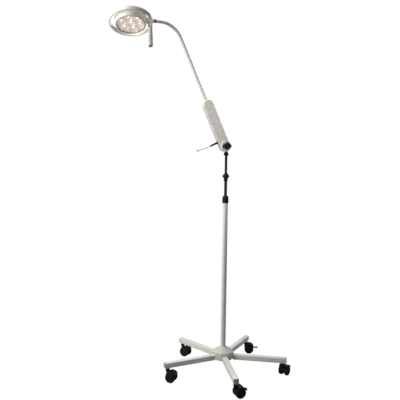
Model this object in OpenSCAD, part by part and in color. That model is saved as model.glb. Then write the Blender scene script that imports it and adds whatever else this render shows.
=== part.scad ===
// Mobile examination light: five-star castor base, telescopic pole, friction arm, round LED head.
// Origin: on the floor, on the pole's axis. +X to the right, +Y to the back, +Z up. Millimetres.

/* [Base] */
// distance from the pole's axis to a leg's tip
leg_reach = 333; // [280:1:360]
// outside of the square leg tube
leg_w = 25; // [20:1:30]
// wall of the leg tube
leg_wall = 2; // [1.5:0.5:3]
// underside of the legs above the floor
leg_z = 70; // [60:1:85]
// heading of the first leg, the others follow every 72 degrees
star_turn = -81.8; // [-180:0.1:180]
// across the flats of the ten-sided hub
hub_w = 108; // [90:1:130]
// underside of the hub above the floor
hub_z = 71; // [60:1:80]
// top of the hub's side faces
hub_top = 108; // [100:1:125]
// height of the conical cover on the hub
cover_h = 28; // [15:1:40]

/* [Castors] */
// wheel diameter
wheel_d = 52; // [40:1:60]
// width of one wheel of the pair
wheel_w = 16; // [10:1:20]
// gap between the two wheels of a castor
wheel_gap = 17; // [14:1:24]
// distance from the swivel axis to the wheel axis
castor_trail = 20; // [15:1:28]
// inset of the swivel axis from the leg's tip
castor_inset = 18; // [12:1:30]
// headings in which the five castors trail
castor_turns = [20, 57, -6, -33, -19]; // [-180:1:180]
// stem diameter
stem_d = 11; // [8:1:12]

/* [Pole] */
// outside diameter of the lower tube
pole_d = 26.9; // [25:0.1:35]
// wall of the lower tube
pole_wall = 2; // [1.5:0.5:3]
// top of the lower tube
pole_top = 905; // [800:1:1000]
// outside diameter of the middle rod
mid_d = 15.2; // [12:0.2:18]
// outside diameter of the upper rod
upper_d = 13.4; // [10:0.2:14]
// underside of the collar on the middle rod
collar_z = 1007; // [980:1:1350]
// underside of the bell collar on the upper rod
bell_z = 1139; // [1100:1:1500]

/* [Arm] */
// heading of the arm, from +X towards +Y
arm_heading = 202; // [0:1:360]
// lean of the arm from the vertical
arm_lean = 25.2; // [-15:0.1:75]
// height of the arm's pivot
pivot_z = 1187; // [1150:1:1550]
// the pivot's offset from the swivel axis
pivot_x = 11; // [0:1:20]
// width of the flat casing
casing_w = 54; // [44:1:60]
// thickness of the casing
casing_t = 30; // [24:1:36]
// distance between the centres of the casing's two round ends
casing_l = 226; // [180:1:260]
// diameter of the raised boss at the pivot
boss_d = 56; // [48:1:60]
// diameter over the two long lobes of the pivot knob
knob_d = 46; // [36:1:50]
// outside diameter of the bent tube
tube_d = 15; // [12:0.5:18]
// distance from the pivot to the start of the tube's bend
tube_straight = 580.6; // [400:0.1:700]
// radius of the bend's centre line
bend_r = 111; // [80:1:150]
// level stretch of the tube, from the end of the bend to the head's joint
tube_reach = 56.4; // [45:0.1:90]

/* [Lead] */
// diameter of the lead
lead_d = 4; // [3:0.5:6]
// length of the strain relief outside the casing
relief_l = 46; // [30:1:60]
// distance from the pivot to the strain relief, along the arm
relief_at = 32; // [28:1:60]

/* [Head] */
// roll of the head about the tube's end
head_roll = 18.5; // [-90:0.5:90]
// nod of the head about its joint pin
head_nod = 3.5; // [-30:0.5:60]
// distance from the joint pin to the head's centre
head_reach = 95; // [90:1:110]
// outside diameter of the lens bezel
lens_d = 139; // [120:1:160]
// depth of the lens bezel's face below the joint pin
lens_drop = 45.5; // [35:0.5:60]
// largest diameter of the housing
bowl_d = 152; // [140:1:170]
// outside diameter of the ring handle
ring_d = 206; // [190:1:230]
// height of the ring's band
ring_h = 23; // [15:1:30]
// thickness of the ring's band
ring_t = 7; // [5:0.5:10]
// depth of the ring's middle below the joint pin
ring_drop = 26; // [15:1:40]
// mouth diameter of one reflector
cup_d = 42; // [30:1:46]
// distance from the centre reflector to the outer six
cup_pitch = 44; // [36:1:48]
// outside diameter of the hanging grip
grip_d = 22; // [18:1:30]
// depth of the grip's open end below the joint pin
grip_drop = 142; // [135:1:180]

/* [Hidden] */
$fn = 64;
slip = 0.1;      // radial running clearance of a shaft in its hole
gap = 0.3;       // air between faces of different moving pieces
eps = 0.01;
big = 400;

legs = 5;
leg_step = 360 / legs;
hub_flat = hub_w / 2;
hub_corner = hub_flat / cos(18);
cap_t = 3;
swivel_r = leg_reach - castor_inset;
stem_r = stem_d / 2;
stem_top = leg_z + 18;
flange_r = 9;
flange_h = 3.5;

wheel_r = wheel_d / 2;
web_t = wheel_gap - 1;
axle_r = 3;
hood_in = wheel_r + 0.8;
hood_out = wheel_r + 3;
hood_w = wheel_gap + 2 * wheel_w;
neck_top = leg_z - flange_h - 0.5;
stem_low = neck_top - 15;
pedal_x = castor_trail + 18;
pedal_z = wheel_r + 8;
pedal_pin_r = 2;

pole_r = pole_d / 2;
pole_bore = pole_r - pole_wall;
pole_foot = hub_z + 3;
bolt_r = 4;
mid_r = mid_d / 2;
upper_r = upper_d / 2;
mid_bore = upper_r + slip;
mid_foot = 430;
mid_top = collar_z + 13;
upper_foot = 760;
upper_top = bell_z + 9;
spigot_r = 4.35;
spigot_bore = spigot_r + slip;
flange_t = 3;
nut_z = 892.6;
nut_top = 930.7;
nut_r = 16.3;

casing_r = casing_w / 2;
half_t = casing_t / 2;
skin = 3;
tang_t = 14;
tang_slot = tang_t / 2 + gap;
shaft_r = 6;
boss_face = half_t + 10;
knob_back = boss_face + gap;
knob_face = knob_back + 19;
tube_r = tube_d / 2;
tube_bore = tube_r - 1.5;
tube_in = 166;
bend_angle = 90 - arm_lean;
corner = tube_straight + bend_r * tan(bend_angle / 2);
corner_x = pivot_x + corner * sin(arm_lean);
level_z = pivot_z + corner * cos(arm_lean);
bend_end_x = corner_x + bend_r * tan(bend_angle / 2);
joint_x = bend_end_x + tube_reach;
sleeve_x = joint_x - 30;
sleeve_end = joint_x - 20;
tube_end = sleeve_x + 5;
stub_l = tube_reach - 6;
relief_from = casing_r;
relief_to = casing_r + relief_l;

lens_r = lens_d / 2;
bowl_r = bowl_d / 2;
ring_r = ring_d / 2;
grip_r = grip_d / 2;
groove_z = -50;
pin_r = 3;
pin_head_r = 5;
pin_head_t = 1.5;
clevis_r = 13;
tongue_w = 14;
glass_r = lens_r - 3.5;
cup_depth = 17;
button_turn = 116;
button_z = -36.5;
button_r = 2.6;

white = [0.90, 0.89, 0.86];
black = [0.09, 0.09, 0.09];

// ---- frames of the moving groups ----

module on_leg(i) {
    rotate([0, 0, star_turn + i * leg_step])
        children();
}

// a castor's own frame: swivel axis on Z, trailing towards +X
module on_castor(i) {
    heading = star_turn + i * leg_step;
    translate([swivel_r * cos(heading), swivel_r * sin(heading), 0])
        rotate([0, 0, castor_turns[i]])
            children();
}

// the arm's upright plane: +X forward to the head, +Y out of the casing's front face
module in_arm_plane() {
    rotate([0, 0, arm_heading])
        children();
}

// along the arm: origin at the pivot, +Z up the arm, +X to its underside
module along_arm() {
    in_arm_plane()
        translate([pivot_x, 0, pivot_z])
            rotate([0, arm_lean, 0])
                children();
}

module at_tube_end() {
    in_arm_plane()
        translate([joint_x, 0, level_z])
            rotate([head_roll, 0, 0])
                children();
}

// the head's own frame: origin on the joint pin, +X to the head's centre, +Z to its back
module in_head() {
    at_tube_end()
        rotate([0, -head_nod, 0])
            children();
}

module about_head() {
    in_head()
        translate([head_reach, 0, 0])
            children();
}

// a cylinder along +Y between two stations
module rod_y(r, from, to) {
    translate([0, to, 0])
        rotate([90, 0, 0])
            cylinder(r = r, h = to - from);
}

// a cylinder along +X between two stations
module rod_x(r, from, to) {
    translate([from, 0, 0])
        rotate([0, 90, 0])
            cylinder(r = r, h = to - from);
}

module block(x, y, z) {
    translate([x[0], y[0], z[0]])
        cube([x[1] - x[0], y[1] - y[0], z[1] - z[0]]);
}

// ---- base ----

module hub_body() {
    color(white)
        difference() {
            intersection() {
                rotate([0, 0, star_turn + 18])
                    translate([0, 0, hub_z])
                        cylinder(r = hub_corner, h = hub_top - hub_z, $fn = 10);
                translate([0, 0, hub_z])
                    cylinder(r1 = hub_flat - 4, r2 = hub_flat - 4 + hub_top - hub_z, h = hub_top - hub_z);
            }
            translate([0, 0, pole_foot])
                cylinder(r = pole_r, h = big);
            translate([0, 0, hub_z - 1])
                cylinder(r = bolt_r + 0.5, h = 10);
        }
}

// pulls the pole's foot down into the hub from below
module pole_bolt() {
    head_h = 5;
    color([0.55, 0.55, 0.55]) {
        translate([0, 0, hub_z - head_h])
            cylinder(r = 7.2, h = head_h, $fn = 6);
        translate([0, 0, hub_z - eps])
            cylinder(r = bolt_r, h = 17);
    }
}

module hub_cover() {
    lip = 2;
    shell = 2.5;
    color(white)
        rotate_extrude()
            polygon([
                [hub_flat, hub_top],
                [hub_flat, hub_top + lip],
                [hub_flat - 16, hub_top + 12],
                [hub_flat - 32, hub_top + 22.5],
                [pole_r + 1.5, hub_top + cover_h - 1],
                [pole_r + slip, hub_top + cover_h],
                [pole_r + slip, hub_top + cover_h - 6],
                [hub_flat - 32, hub_top + 22.5 - shell],
                [hub_flat - 16 - shell / 2, hub_top + 12 - shell],
                [hub_flat - shell, hub_top]
            ]);
}

// a square tube that butts against a flat of the hub
module leg(i) {
    bore = leg_w - 2 * leg_wall;
    color(white)
        on_leg(i)
            difference() {
                block([hub_flat, leg_reach - cap_t], [-leg_w / 2, leg_w / 2], [leg_z, leg_z + leg_w]);
                block([hub_flat - 1, leg_reach], [-bore / 2, bore / 2], [leg_z + leg_wall, leg_z + leg_wall + bore]);
                translate([swivel_r, 0, leg_z - 1])
                    cylinder(r = stem_r, h = leg_wall + 2);
            }
}

module leg_end_caps() {
    bore = leg_w - 2 * leg_wall;
    mid = leg_z + leg_w / 2;
    color([0.6, 0.61, 0.61])
        for (i = [0:legs - 1])
            on_leg(i)
                difference() {
                    union() {
                        block([leg_reach - cap_t, leg_reach], [-leg_w / 2, leg_w / 2], [leg_z, leg_z + leg_w]);
                        block([leg_reach - cap_t - 3, leg_reach - cap_t + eps], [-bore / 2, bore / 2], [mid - bore / 2, mid + bore / 2]);
                    }
                    for (side = [-1, 1])
                        translate([leg_reach - 1.2, 7, mid + side * 5.5])
                            rotate([0, 90, 0])
                                cylinder(r = 1.8, h = 2);
                }
}

// a plain stem with a flange that bears on the leg's underside
module castor_stems() {
    color(black)
        for (i = [0:legs - 1])
            on_leg(i)
                translate([swivel_r, 0, 0]) {
                    translate([0, 0, stem_low])
                        cylinder(r = stem_r, h = stem_top - stem_low);
                    translate([0, 0, leg_z - flange_h])
                        cylinder(r = flange_r, h = flange_h);
                }
}

// ---- castors ----

// the hood: a band over both wheels between two angles about the axle
module hood_band(from, to) {
    translate([castor_trail, 0, wheel_r])
        rotate([90, 0, 0])
            translate([0, 0, -hood_w / 2])
                rotate([0, 0, from])
                    rotate_extrude(angle = to - from)
                        translate([hood_in, 0])
                            square([hood_out - hood_in, hood_w]);
}

module castor_fork(i, braked) {
    web_h = neck_top - 12;
    color(black)
        on_castor(i) {
            difference() {
                union() {
                    hood_band(28, 128);
                    intersection() {
                        translate([castor_trail, 0, wheel_r])
                            rod_y((hood_in + hood_out) / 2, -web_t / 2, web_t / 2);
                        block([-10, castor_trail + 11], [-web_t / 2, web_t / 2], [8, web_h]);
                    }
                    translate([0, 0, neck_top - 18])
                        cylinder(r = 9.5, h = 18);
                    translate([0, 0, neck_top - 8])
                        cylinder(r = 10.5, h = 8);
                    if (braked)
                        for (side = [-1, 1])
                            block([castor_trail + 10, pedal_x + 3], [side > 0 ? 6.3 : -web_t / 2, side > 0 ? web_t / 2 : -6.3],
                                  [pedal_z - 5, pedal_z + 5]);
                }
                translate([0, 0, stem_low - 1])
                    cylinder(r = stem_r + slip, h = big);
                translate([castor_trail, 0, wheel_r])
                    rod_y(axle_r, -web_t, web_t);
            }
            translate([castor_trail, 0, wheel_r])
                rod_y(axle_r, -hood_w / 2 + 2, hood_w / 2 - 2);
            if (braked)
                translate([pedal_x, 0, pedal_z])
                    rod_y(pedal_pin_r, -6.3, 6.3);
        }
}

// one wheel of the pair: a closed outer face, a dished inner face and a blind axle hole
module castor_wheel(i, side) {
    inner = wheel_gap / 2;
    outer = wheel_gap / 2 + wheel_w;
    color(black)
        on_castor(i)
            translate([castor_trail, 0, wheel_r])
                rotate([side > 0 ? -90 : 90, 0, 0])
                    rotate_extrude()
                        polygon([
                            [axle_r + slip, inner],
                            [8, inner],
                            [8, inner + 3],
                            [wheel_r - 4, inner + 3],
                            [wheel_r - 4, inner],
                            [wheel_r - 1, inner],
                            [wheel_r, inner + 1.5],
                            [wheel_r, outer - 4],
                            [wheel_r - 1.2, outer - 1.6],
                            [wheel_r - 4, outer],
                            [0, outer],
                            [0, outer - 1.6],
                            [axle_r + slip, outer - 1.6]
                        ]);
}

// a lever between the wheels with a foot tab that stands out behind them
module brake_pedal(i, reach, tint) {
    color(tint)
        on_castor(i)
            difference() {
                union() {
                    translate([pedal_x, 0, pedal_z])
                        rod_y(5, -6, 6);
                    block([pedal_x, castor_trail + wheel_r + 6], [-6, 6], [pedal_z - 3, pedal_z + 3]);
                    block([castor_trail + wheel_r + 5, castor_trail + wheel_r + reach], [-8.5, 8.5],
                          [pedal_z - 3.5, pedal_z + 3.5]);
                }
                translate([pedal_x, 0, pedal_z])
                    rod_y(pedal_pin_r + slip, -10, 10);
            }
}

// ---- pole ----

// the lower tube, with a tapped plug in its foot for the bolt
module pole_tube() {
    plug_h = 20;
    color(white)
        translate([0, 0, pole_foot])
            difference() {
                cylinder(r = pole_r, h = pole_top - pole_foot);
                translate([0, 0, plug_h])
                    cylinder(r = pole_bore, h = pole_top - pole_foot);
                translate([0, 0, -1])
                    cylinder(r = bolt_r, h = plug_h + 2);
            }
}

module pole_bush() {
    color(black)
        difference() {
            union() {
                translate([0, 0, pole_top - 35])
                    cylinder(r = pole_bore, h = 35);
                translate([0, 0, pole_top])
                    cylinder(r = pole_r, h = flange_t);
            }
            translate([0, 0, pole_top - 40])
                cylinder(r = mid_r + slip, h = 60);
        }
}

module pole_clamp_nut() {
    ledge = pole_top + flange_t + gap;
    color(black)
        rotate_extrude()
            polygon([
                [pole_r + slip, nut_z],
                [nut_r - 1.8, nut_z],
                [nut_r, nut_z + 4],
                [nut_r, nut_top - 7.5],
                [nut_r - 2, nut_top - 4],
                [nut_r - 6.8, nut_top],
                [mid_r + slip, nut_top],
                [mid_r + slip, ledge],
                [pole_r + slip, ledge]
            ]);
}

module middle_rod() {
    color(black)
        difference() {
            union() {
                translate([0, 0, mid_foot])
                    cylinder(r = mid_r, h = mid_top - mid_foot);
                translate([0, 0, mid_foot])
                    cylinder(r = pole_bore - slip, h = 20);
            }
            translate([0, 0, mid_foot - 1])
                cylinder(r = mid_bore, h = big * 2);
        }
}

module rod_collar() {
    neck_r = 9;
    color(black)
        difference() {
            union() {
                translate([0, 0, collar_z])
                    cylinder(r = 10.5, h = 13);
                translate([0, 0, collar_z + 13])
                    cylinder(r = neck_r, h = 20);
            }
            translate([0, 0, collar_z - 1])
                cylinder(r = mid_r, h = mid_top - collar_z + 1);
            translate([0, 0, collar_z])
                cylinder(r = mid_bore, h = 40);
        }
}

// the double-coned grip ring that turns on the collar's neck
module rod_clamp_ring() {
    foot = collar_z + 13 + gap;
    neck_r = 9 + slip;
    color(black)
        rotate_extrude()
            polygon([
                [neck_r, foot],
                [11.5, foot],
                [12.5, foot + 4],
                [19, foot + 10.5],
                [19, foot + 12],
                [10, foot + 25],
                [8, foot + 27],
                [mid_bore, foot + 27],
                [mid_bore, collar_z + 33 + gap],
                [neck_r, collar_z + 33 + gap]
            ]);
}

module upper_rod() {
    color(black)
        translate([0, 0, upper_foot])
            difference() {
                cylinder(r = upper_r, h = upper_top - upper_foot);
                translate([0, 0, -1])
                    cylinder(r = spigot_bore, h = upper_top - upper_foot + 2);
            }
}

module bell_collar() {
    color(black)
        rotate_extrude()
            polygon([
                [upper_r, bell_z],
                [10.5, bell_z + 0.5],
                [12.2, bell_z + 2.5],
                [13, bell_z + 7],
                [12, bell_z + 11.5],
                [8.5, bell_z + 17],
                [6.8, bell_z + 20.5],
                [spigot_bore, bell_z + 20.5],
                [spigot_bore, upper_top],
                [upper_r, upper_top]
            ]);
}

// ---- arm ----

// spigot in the rod, round shoulder, and a flat tang up to the arm's pivot
module arm_bracket() {
    shoulder = bell_z + 20.5 + gap;
    color(white)
        in_arm_plane()
            difference() {
                union() {
                    translate([0, 0, shoulder - 60])
                        cylinder(r = spigot_r, h = 62);
                    translate([0, 0, shoulder])
                        cylinder(r = tang_t / 2, h = 10);
                    block([-tang_t / 2, pivot_x + 6], [-tang_t / 2, tang_t / 2], [shoulder + 5, pivot_z]);
                    translate([pivot_x, 0, pivot_z])
                        rod_y(14, -tang_t / 2, tang_t / 2);
                }
                translate([pivot_x, 0, pivot_z])
                    rod_y(shaft_r + slip, -big, big);
            }
}

module stadium(r, from, to) {
    rod_y(r, from, to);
    translate([0, 0, casing_l])
        rod_y(r, from, to);
    block([-r, r], [from, to], [0, casing_l]);
}

// one half of the casing: plate, rim, clamp block for the tube, screw posts and the pivot's bearing
module casing_half(side) {
    post_x = 18;
    screw_z = casing_l + 2;
    color(white)
        along_arm()
            mirror([0, side > 0 ? 0 : 1, 0])
                difference() {
                    union() {
                        difference() {
                            stadium(casing_r, 0, half_t);
                            stadium(casing_r - skin, -1, half_t - skin);
                        }
                        rod_y(13, tang_slot, half_t - 1);
                        for (x = [-post_x, post_x])
                            translate([x, 0, screw_z])
                                rod_y(5, 0, half_t - 1);
                        block([-tube_r - 4, tube_r + 4], [0, half_t - 1], [tube_in + 14, casing_l + casing_r - 2]);
                    }
                    // room for the bracket's tang as the arm leans
                    rotate([90, 0, 0])
                        translate([0, 0, -tang_slot])
                            rotate([0, 0, -156])
                                rotate_extrude(angle = 154)
                                    translate([casing_r - skin - 8, 0])
                                        square([16, 2 * tang_slot]);
                    translate([0, 0, tube_in])
                        cylinder(r = tube_r, h = big);
                    rod_y(shaft_r, -1, big);
                    for (x = [-post_x, post_x])
                        translate([x, 0, screw_z]) {
                            rod_y(1.6, -1, side > 0 ? big : 10);
                            if (side > 0)
                                rod_y(3.4, half_t - 1.5, big);
                        }
                    translate([0, 0, relief_at])
                        rod_x(4, 0, big);
                }
}

module casing_screws() {
    color([0.55, 0.55, 0.55])
        along_arm()
            for (x = [-18, 18])
                translate([x, 0, casing_l + 2])
                    difference() {
                        union() {
                            rod_y(1.6, -9.5, half_t - 1);
                            rod_y(3.4, half_t - 1.5, half_t);
                        }
                        block([-0.5, 0.5], [half_t - 0.8, half_t + 1], [-4, 4]);
                    }
}

module pivot_boss() {
    color(white)
        along_arm()
            difference() {
                union() {
                    rod_y(boss_d / 2, half_t, boss_face - 1.5);
                    rod_y(boss_d / 2 - 1.5, half_t, boss_face);
                }
                rod_y(shaft_r, 0, big);
            }
}

module pivot_shaft() {
    color([0.6, 0.6, 0.6])
        along_arm() {
            rod_y(shaft_r, -half_t, knob_face - 8);
            rod_y(12, -half_t - 3, -half_t);
        }
}

// radius of the knob's outline: two long lobes along the level line and two short lobes across it
function lobed(turn) = knob_d / 2 - 2.5 * (1 - cos(2 * (turn + arm_lean))) - 2 * (1 - cos(4 * (turn + arm_lean)));

module pivot_knob() {
    steps = 96;
    neck_h = 5;
    color(black)
        along_arm()
            difference() {
                union() {
                    rod_y(10.5, knob_back, knob_back + neck_h + 1);
                    translate([0, knob_back + neck_h, 0])
                        rotate([-90, 0, 0])
                            linear_extrude(height = knob_face - knob_back - neck_h)
                                polygon([for (k = [0:steps - 1])
                                    lobed(k * 360 / steps) * [cos(k * 360 / steps), sin(k * 360 / steps)]]);
                }
                rod_y(shaft_r + slip, -big, knob_face - 7.5);
            }
}

// straight up the arm, one bend, then level to the head
module bent_rod(r, start, level) {
    along_arm() {
        translate([0, 0, start])
            cylinder(r = r, h = tube_straight - start);
        translate([bend_r, 0, tube_straight]) {
            rotate([90, 0, 0])
                rotate([0, 0, 180 - bend_angle])
                    rotate_extrude(angle = bend_angle)
                        translate([bend_r, 0])
                            circle(r = r);
            rotate([0, bend_angle, 0])
                translate([-bend_r, 0, 0])
                    cylinder(r = r, h = level);
        }
    }
}

module arm_tube() {
    color(white)
        difference() {
            bent_rod(tube_r, tube_in, tube_end - bend_end_x);
            bent_rod(tube_bore, tube_in - 1, tube_end - bend_end_x + 1);
        }
}

module tube_sleeve() {
    color([0.25, 0.25, 0.25])
        in_arm_plane()
            translate([0, 0, level_z])
                difference() {
                    rod_x(tube_r + 1, sleeve_x, sleeve_end);
                    rod_x(tube_r, sleeve_x - 1, tube_end);
                    rod_x(tube_bore, sleeve_x, sleeve_end + 1);
                }
}

// ---- lead ----

module strain_relief() {
    color(black)
        along_arm()
            translate([0, 0, relief_at])
                difference() {
                    union() {
                        rod_x(4, relief_from - skin, relief_from);
                        translate([relief_from, 0, 0])
                            rotate([0, 90, 0])
                                cylinder(r1 = 5.4, r2 = 4.4, h = relief_l);
                    }
                    rod_x(lead_d / 2, relief_to - 15, relief_to + 1);
                }
}

// the lead's route in the arm's upright plane, from the strain relief to its connector
lead_tip_x = pivot_x + relief_at * sin(arm_lean) + relief_to * cos(arm_lean);
lead_tip_z = pivot_z + relief_at * cos(arm_lean) - relief_to * sin(arm_lean);
lead_points = [
    [0, 0], [4, -1.87], [8, -3.7], [12, -5.5], [16, -7.2], [20, -8.8], [24.5, -10.5], [29, -12.1],
    [34, -13.8], [39, -15.4], [44, -17.0], [49, -18.6], [54, -20.3], [58.5, -21.9], [62, -23.2]
];

module round_cord(points, r) {
    for (i = [1:len(points) - 1])
        hull()
            for (p = [points[i - 1], points[i]])
                translate([p[0], 0, p[1]])
                    sphere(r = r, $fn = 16);
}

module power_lead() {
    color([0.7, 0.7, 0.7])
        in_arm_plane()
            translate([lead_tip_x, 0, lead_tip_z])
                round_cord(lead_points, lead_d / 2);
}

module lead_connector() {
    last = lead_points[len(lead_points) - 1];
    before = lead_points[len(lead_points) - 2];
    step = last - before;
    color([0.6, 0.6, 0.6])
        in_arm_plane()
            translate([lead_tip_x + last[0], 0, lead_tip_z + last[1]])
                rotate([0, 90 - atan2(step[1], step[0]), 0])
                    difference() {
                        union() {
                            cylinder(r = 3.6, h = 9);
                            cylinder(r = 2.75, h = 18.5);
                        }
                        translate([0, 0, -1])
                            cylinder(r = lead_d / 2, h = 4);
                    }
}

// ---- head ----

module head_knuckle() {
    eye_r = 9;
    collar = [sleeve_end - joint_x + gap, sleeve_end - joint_x + 3];
    color(white)
        difference() {
            at_tube_end() {
                rod_x(tube_bore - slip, -stub_l, collar[1]);
                rod_x(tube_r + 1, collar[0], collar[1]);
                block([collar[1] - eps, 0], [-tongue_w / 2, tongue_w / 2], [-5.5, 5.5]);
                rod_y(eye_r, -tongue_w / 2, tongue_w / 2);
            }
            at_tube_end()
                rod_y(pin_r + slip, -big, big);
        }
}

module joint_pin() {
    color([0.7, 0.7, 0.7])
        in_head() {
            rod_y(pin_r, -clevis_r, clevis_r);
            rod_y(pin_head_r, clevis_r, clevis_r + pin_head_t);
            rod_y(pin_head_r, -clevis_r - pin_head_t, -clevis_r);
        }
}

module bowl_outside() {
    rotate_extrude()
        polygon([
            [0, -lens_drop + 1],
            [lens_r + 1.6, -lens_drop + 1],
            [bowl_r, -14],
            [bowl_r, -8],
            [bowl_r - 4, -1],
            [bowl_r - 12, 4],
            [bowl_r - 30, 7.5],
            [0, 8.5]
        ]);
}

module head_housing() {
    wall = 2.4;
    color(white)
        about_head()
            difference() {
                bowl_outside();
                rotate_extrude()
                    polygon([
                        [0, -lens_drop],
                        [lens_r, -lens_drop],
                        [lens_r, -lens_drop + 7],
                        [bowl_r - wall, -14],
                        [bowl_r - wall, -8],
                        [bowl_r - 14, 1.5],
                        [0, 5]
                    ]);
                rotate([0, 0, button_turn])
                    translate([0, 0, button_z])
                        rod_x(button_r + gap, lens_r - 5, big);
            }
}

// neck, clevis and the fixed upper part of the grip, with the spindle the grip turns on
module head_yoke() {
    color(white)
        in_head()
            difference() {
                union() {
                    difference() {
                        translate([0, 0, -20])
                            linear_extrude(height = 26)
                                polygon([[2, -12], [head_reach - 42, -56], [head_reach - 20, -56],
                                         [head_reach - 20, 56], [head_reach - 42, 56], [2, 12]]);
                        translate([head_reach, 0, 0])
                            bowl_outside();
                    }
                    rod_y(clevis_r, -clevis_r, clevis_r);
                    translate([0, 0, groove_z])
                        cylinder(r = grip_r, h = -groove_z - 6);
                    translate([0, 0, groove_z - 70])
                        cylinder(r = 7, h = 71);
                }
                block([-big, 10], [-tongue_w / 2 - gap, tongue_w / 2 + gap], [-clevis_r, big]);
                rod_y(pin_r, -big, big);
                rod_y(pin_head_r + gap, clevis_r, big);
                rod_y(pin_head_r + gap, -big, -clevis_r);
            }
}

module lens_bezel() {
    color([0.8, 0.79, 0.77])
        about_head()
            rotate_extrude()
                polygon([
                    [glass_r, -lens_drop - 0.5],
                    [lens_r - 1, -lens_drop - 0.5],
                    [lens_r, -lens_drop + 0.5],
                    [lens_r, -lens_drop + 5],
                    [glass_r - 3, -lens_drop + 5],
                    [glass_r - 3, -lens_drop + 3],
                    [glass_r, -lens_drop + 3]
                ]);
}

module lens_cover() {
    color([0.85, 0.9, 0.95, 0.35])
        about_head()
            translate([0, 0, -lens_drop])
                cylinder(r = glass_r, h = 3);
}

module on_cups() {
    children();
    for (turn = [0:60:300])
        rotate([0, 0, turn])
            translate([cup_pitch, 0, 0])
                children();
}

// seven conical cups in one moulding
module reflector_array() {
    face = -lens_drop + 5;
    color([0.9, 0.85, 0.83])
        about_head()
            difference() {
                translate([0, 0, face])
                    cylinder(r = glass_r, h = cup_depth);
                on_cups()
                    translate([0, 0, face - eps])
                        cylinder(r1 = cup_d / 2, r2 = 6, h = cup_depth + 2 * eps);
            }
}

module led_board() {
    color([0.85, 0.85, 0.8])
        about_head()
            translate([0, 0, -lens_drop + 5 + cup_depth])
                cylinder(r = glass_r - 2, h = 2);
}

module led_emitters() {
    die = 6;
    color([1, 0.95, 0.8])
        about_head()
            on_cups()
                translate([-die / 2, -die / 2, -lens_drop + 5 + cup_depth - 1.2])
                    cube([die, die, 1.2]);
}

// the band is broken where the grip's fixed part passes through it
module ring_handle() {
    low = -ring_drop - ring_h / 2;
    high = -ring_drop + ring_h / 2;
    edge = 2;
    color(white)
        difference() {
            about_head()
                rotate_extrude($fn = 96)
                    polygon([
                        [ring_r - ring_t, low + edge],
                        [ring_r - ring_t + edge, low],
                        [ring_r - edge, low],
                        [ring_r, low + edge],
                        [ring_r, high - edge],
                        [ring_r - edge, high],
                        [ring_r - ring_t + edge, high],
                        [ring_r - ring_t, high - edge]
                    ]);
            in_head()
                translate([0, 0, groove_z])
                    cylinder(r = grip_r, h = big);
        }
}

module grip_sleeve() {
    top = groove_z - 1;
    color(white)
        in_head()
            difference() {
                translate([0, 0, -grip_drop])
                    cylinder(r = grip_r, h = top + grip_drop);
                translate([0, 0, groove_z - 74])
                    cylinder(r = 7 + slip, h = 100);
                translate([0, 0, -grip_drop - 1])
                    cylinder(r = 9, h = 14);
            }
}

module grip_plug() {
    color(black)
        in_head()
            translate([0, 0, -grip_drop + 7])
                cylinder(r = 9, h = 4);
}

module power_button() {
    color([0.45, 0.43, 0.4])
        about_head()
            rotate([0, 0, button_turn])
                translate([0, 0, button_z])
                    rod_x(button_r, lens_r - 1, lens_r + 3.1);
}

// ---- one line per node ----

hub_body();
hub_cover();
pole_bolt();
leg(0);  // leg_a
leg(1);  // leg_b
leg(2);  // leg_c
leg(3);  // leg_d
leg(4);  // leg_e
leg_end_caps();
castor_stems();
castor_fork(0, true);  // castor_a_fork
castor_wheel(0, 1);  // castor_a_wheel_l
castor_wheel(0, -1);  // castor_a_wheel_r
castor_fork(1, false);  // castor_b_fork
castor_wheel(1, 1);  // castor_b_wheel_l
castor_wheel(1, -1);  // castor_b_wheel_r
castor_fork(2, true);  // castor_c_fork
castor_wheel(2, 1);  // castor_c_wheel_l
castor_wheel(2, -1);  // castor_c_wheel_r
castor_fork(3, false);  // castor_d_fork
castor_wheel(3, 1);  // castor_d_wheel_l
castor_wheel(3, -1);  // castor_d_wheel_r
castor_fork(4, false);  // castor_e_fork
castor_wheel(4, 1);  // castor_e_wheel_l
castor_wheel(4, -1);  // castor_e_wheel_r
brake_pedal(0, 12, black);  // brake_pedal_a
brake_pedal(2, 24, [0.72, 0.78, 0.12]);  // brake_pedal_c
pole_tube();
pole_bush();
pole_clamp_nut();
middle_rod();
rod_collar();
rod_clamp_ring();
upper_rod();
bell_collar();
arm_bracket();
casing_half(1);  // casing_front
casing_half(-1);  // casing_rear
casing_screws();
pivot_boss();
pivot_shaft();
pivot_knob();
arm_tube();
tube_sleeve();
strain_relief();
power_lead();
lead_connector();
head_knuckle();
joint_pin();
head_housing();
head_yoke();
lens_bezel();
lens_cover();
reflector_array();
led_board();
led_emitters();
ring_handle();
grip_sleeve();
grip_plug();
power_button();
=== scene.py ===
import math

import bmesh
import bpy
from mathutils import Matrix, Vector


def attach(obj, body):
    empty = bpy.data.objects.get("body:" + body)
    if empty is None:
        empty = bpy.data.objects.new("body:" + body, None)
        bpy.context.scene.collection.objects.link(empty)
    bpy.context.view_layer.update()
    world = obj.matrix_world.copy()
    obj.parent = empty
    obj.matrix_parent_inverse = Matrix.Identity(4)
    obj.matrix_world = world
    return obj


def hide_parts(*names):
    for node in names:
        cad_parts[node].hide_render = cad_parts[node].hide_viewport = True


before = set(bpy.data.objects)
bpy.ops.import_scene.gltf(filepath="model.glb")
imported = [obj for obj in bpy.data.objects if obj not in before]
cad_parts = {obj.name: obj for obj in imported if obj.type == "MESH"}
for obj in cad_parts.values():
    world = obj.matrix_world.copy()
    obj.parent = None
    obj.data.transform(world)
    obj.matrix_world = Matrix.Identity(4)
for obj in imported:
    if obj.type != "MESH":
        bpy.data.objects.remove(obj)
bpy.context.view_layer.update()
MM = 0.001


# ---------------------------------------------------------------- frames, in millimetres
def turn(angle, axis):
    return Matrix.Rotation(math.radians(angle), 4, axis)


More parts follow.
